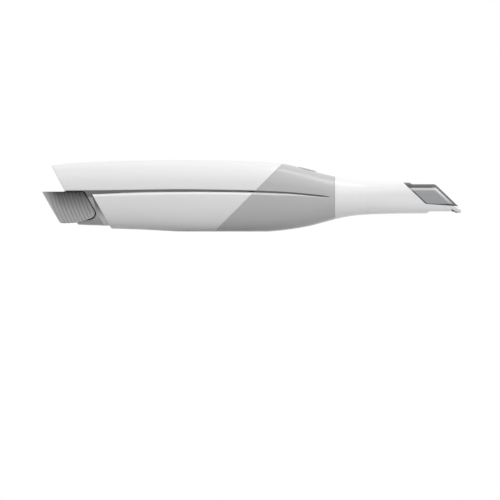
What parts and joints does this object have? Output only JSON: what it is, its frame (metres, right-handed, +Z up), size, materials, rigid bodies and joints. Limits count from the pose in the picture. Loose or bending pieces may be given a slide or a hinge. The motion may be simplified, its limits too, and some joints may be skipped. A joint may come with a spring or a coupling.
{
  "type": "intraoral scanner",
  "caption": "Cordless dental scanning wand: two-part white body, grey nose with one button, ribbed battery grip and a detachable white tip with a slanted mirror hood.",
  "frame": {"origin": "centre of the footprint at the height of the belly flat that the wand lies on", "axes": "+X along the wand towards the scanning tip, +Y across it, +Z up out of the back where the button is"},
  "size_m": [0.2736, 0.0422, 0.0466],
  "materials": {
    "white_shell": "smooth satin-gloss white",
    "grey_shell": "fine matte mid grey",
    "grey_frame": "fine matte dark grey",
    "grip_grey": "matte dark grey with ribs",
    "black_plastic": "matte black",
    "white_tip": "smooth white that stands steam cleaning",
    "grey_hood": "fine matte grey",
    "mirror": "front-silvered",
    "lens_glass": "clear coated",
    "aluminium": "satin",
    "spring_steel": "bright rolled",
    "screw_steel": "turned",
    "gold": "gold plated",
    "copper": "enamelled copper wire",
    "ceramic": "pale ceramic",
    "green_board": "green lacquered board",
    "amber_film": "amber film",
    "seal_rubber": "soft black"
  },
  "bodies": {
    "handle": {"top_shell": "white_shell", "bottom_shell": "white_shell", "nose_sleeve": "grey_shell", "rear_bezel": "grey_shell", "mid_frame": "grey_frame", "battery_sleeve": "black_plastic", "contact_block": "black_plastic", "contact_pins": "gold", "button_ring": "grey_shell", "snap_dome": "spring_steel", "button_board": "green_board", "main_board": "green_board", "processor": "black_plastic", "memory_chips": "black_plastic", "radio_antenna": "ceramic", "board_connector": "ceramic", "heat_spreader": "aluminium", "radio_shield": "spring_steel", "board_screws": "screw_steel", "bench_screws": "screw_steel", "optics_bench": "aluminium", "heat_sink": "aluminium", "emitter_board": "green_board", "light_emitter": "ceramic", "condenser_holder": "black_plastic", "condenser_lens": "lens_glass", "pattern_slide": "lens_glass", "beam_splitter": "lens_glass", "sensor_board": "green_board", "image_sensor": "black_plastic", "sensor_flex": "amber_film", "guide_rods": "screw_steel", "focus_magnets": "spring_steel", "lens_tube": "aluminium", "rear_lens": "lens_glass", "relay_lens": "lens_glass", "front_lens": "lens_glass", "snout_tube": "grey_shell", "snout_seal": "seal_rubber", "snout_window": "lens_glass"},
    "tip": {"tip_sleeve": "white_tip", "tip_hood": "grey_hood", "tip_mirror": "mirror"},
    "battery_pack": {"battery_grip": "grip_grey", "battery_case": "black_plastic", "battery_contacts": "gold"},
    "button": {"scan_button": "grey_shell"},
    "focus_group": {"focus_carriage": "black_plastic", "focus_lens": "lens_glass", "focus_coil": "copper"}
  },
  "joints": [
    {"name": "tip_slide", "type": "slide", "parent": "handle", "child": "tip", "axis": [1, 0, 0], "range_m": [0, 0.047]},
    {"name": "battery_slide", "type": "slide", "parent": "handle", "child": "battery_pack", "axis": [-1, 0, 0], "range_m": [0, 0.077]},
    {"name": "scan_button_press", "type": "slide", "parent": "handle", "child": "button", "axis": [-0.243, 0, -0.97], "range_m": [0, 0.0007], "stiffness_N_per_m": 600, "springref_m": -0.002},
    {"name": "focus_slide", "type": "slide", "parent": "handle", "child": "focus_group", "axis": [1, 0, 0], "range_m": [-0.0015, 0.0015], "stiffness_N_per_m": 200}
  ]
}
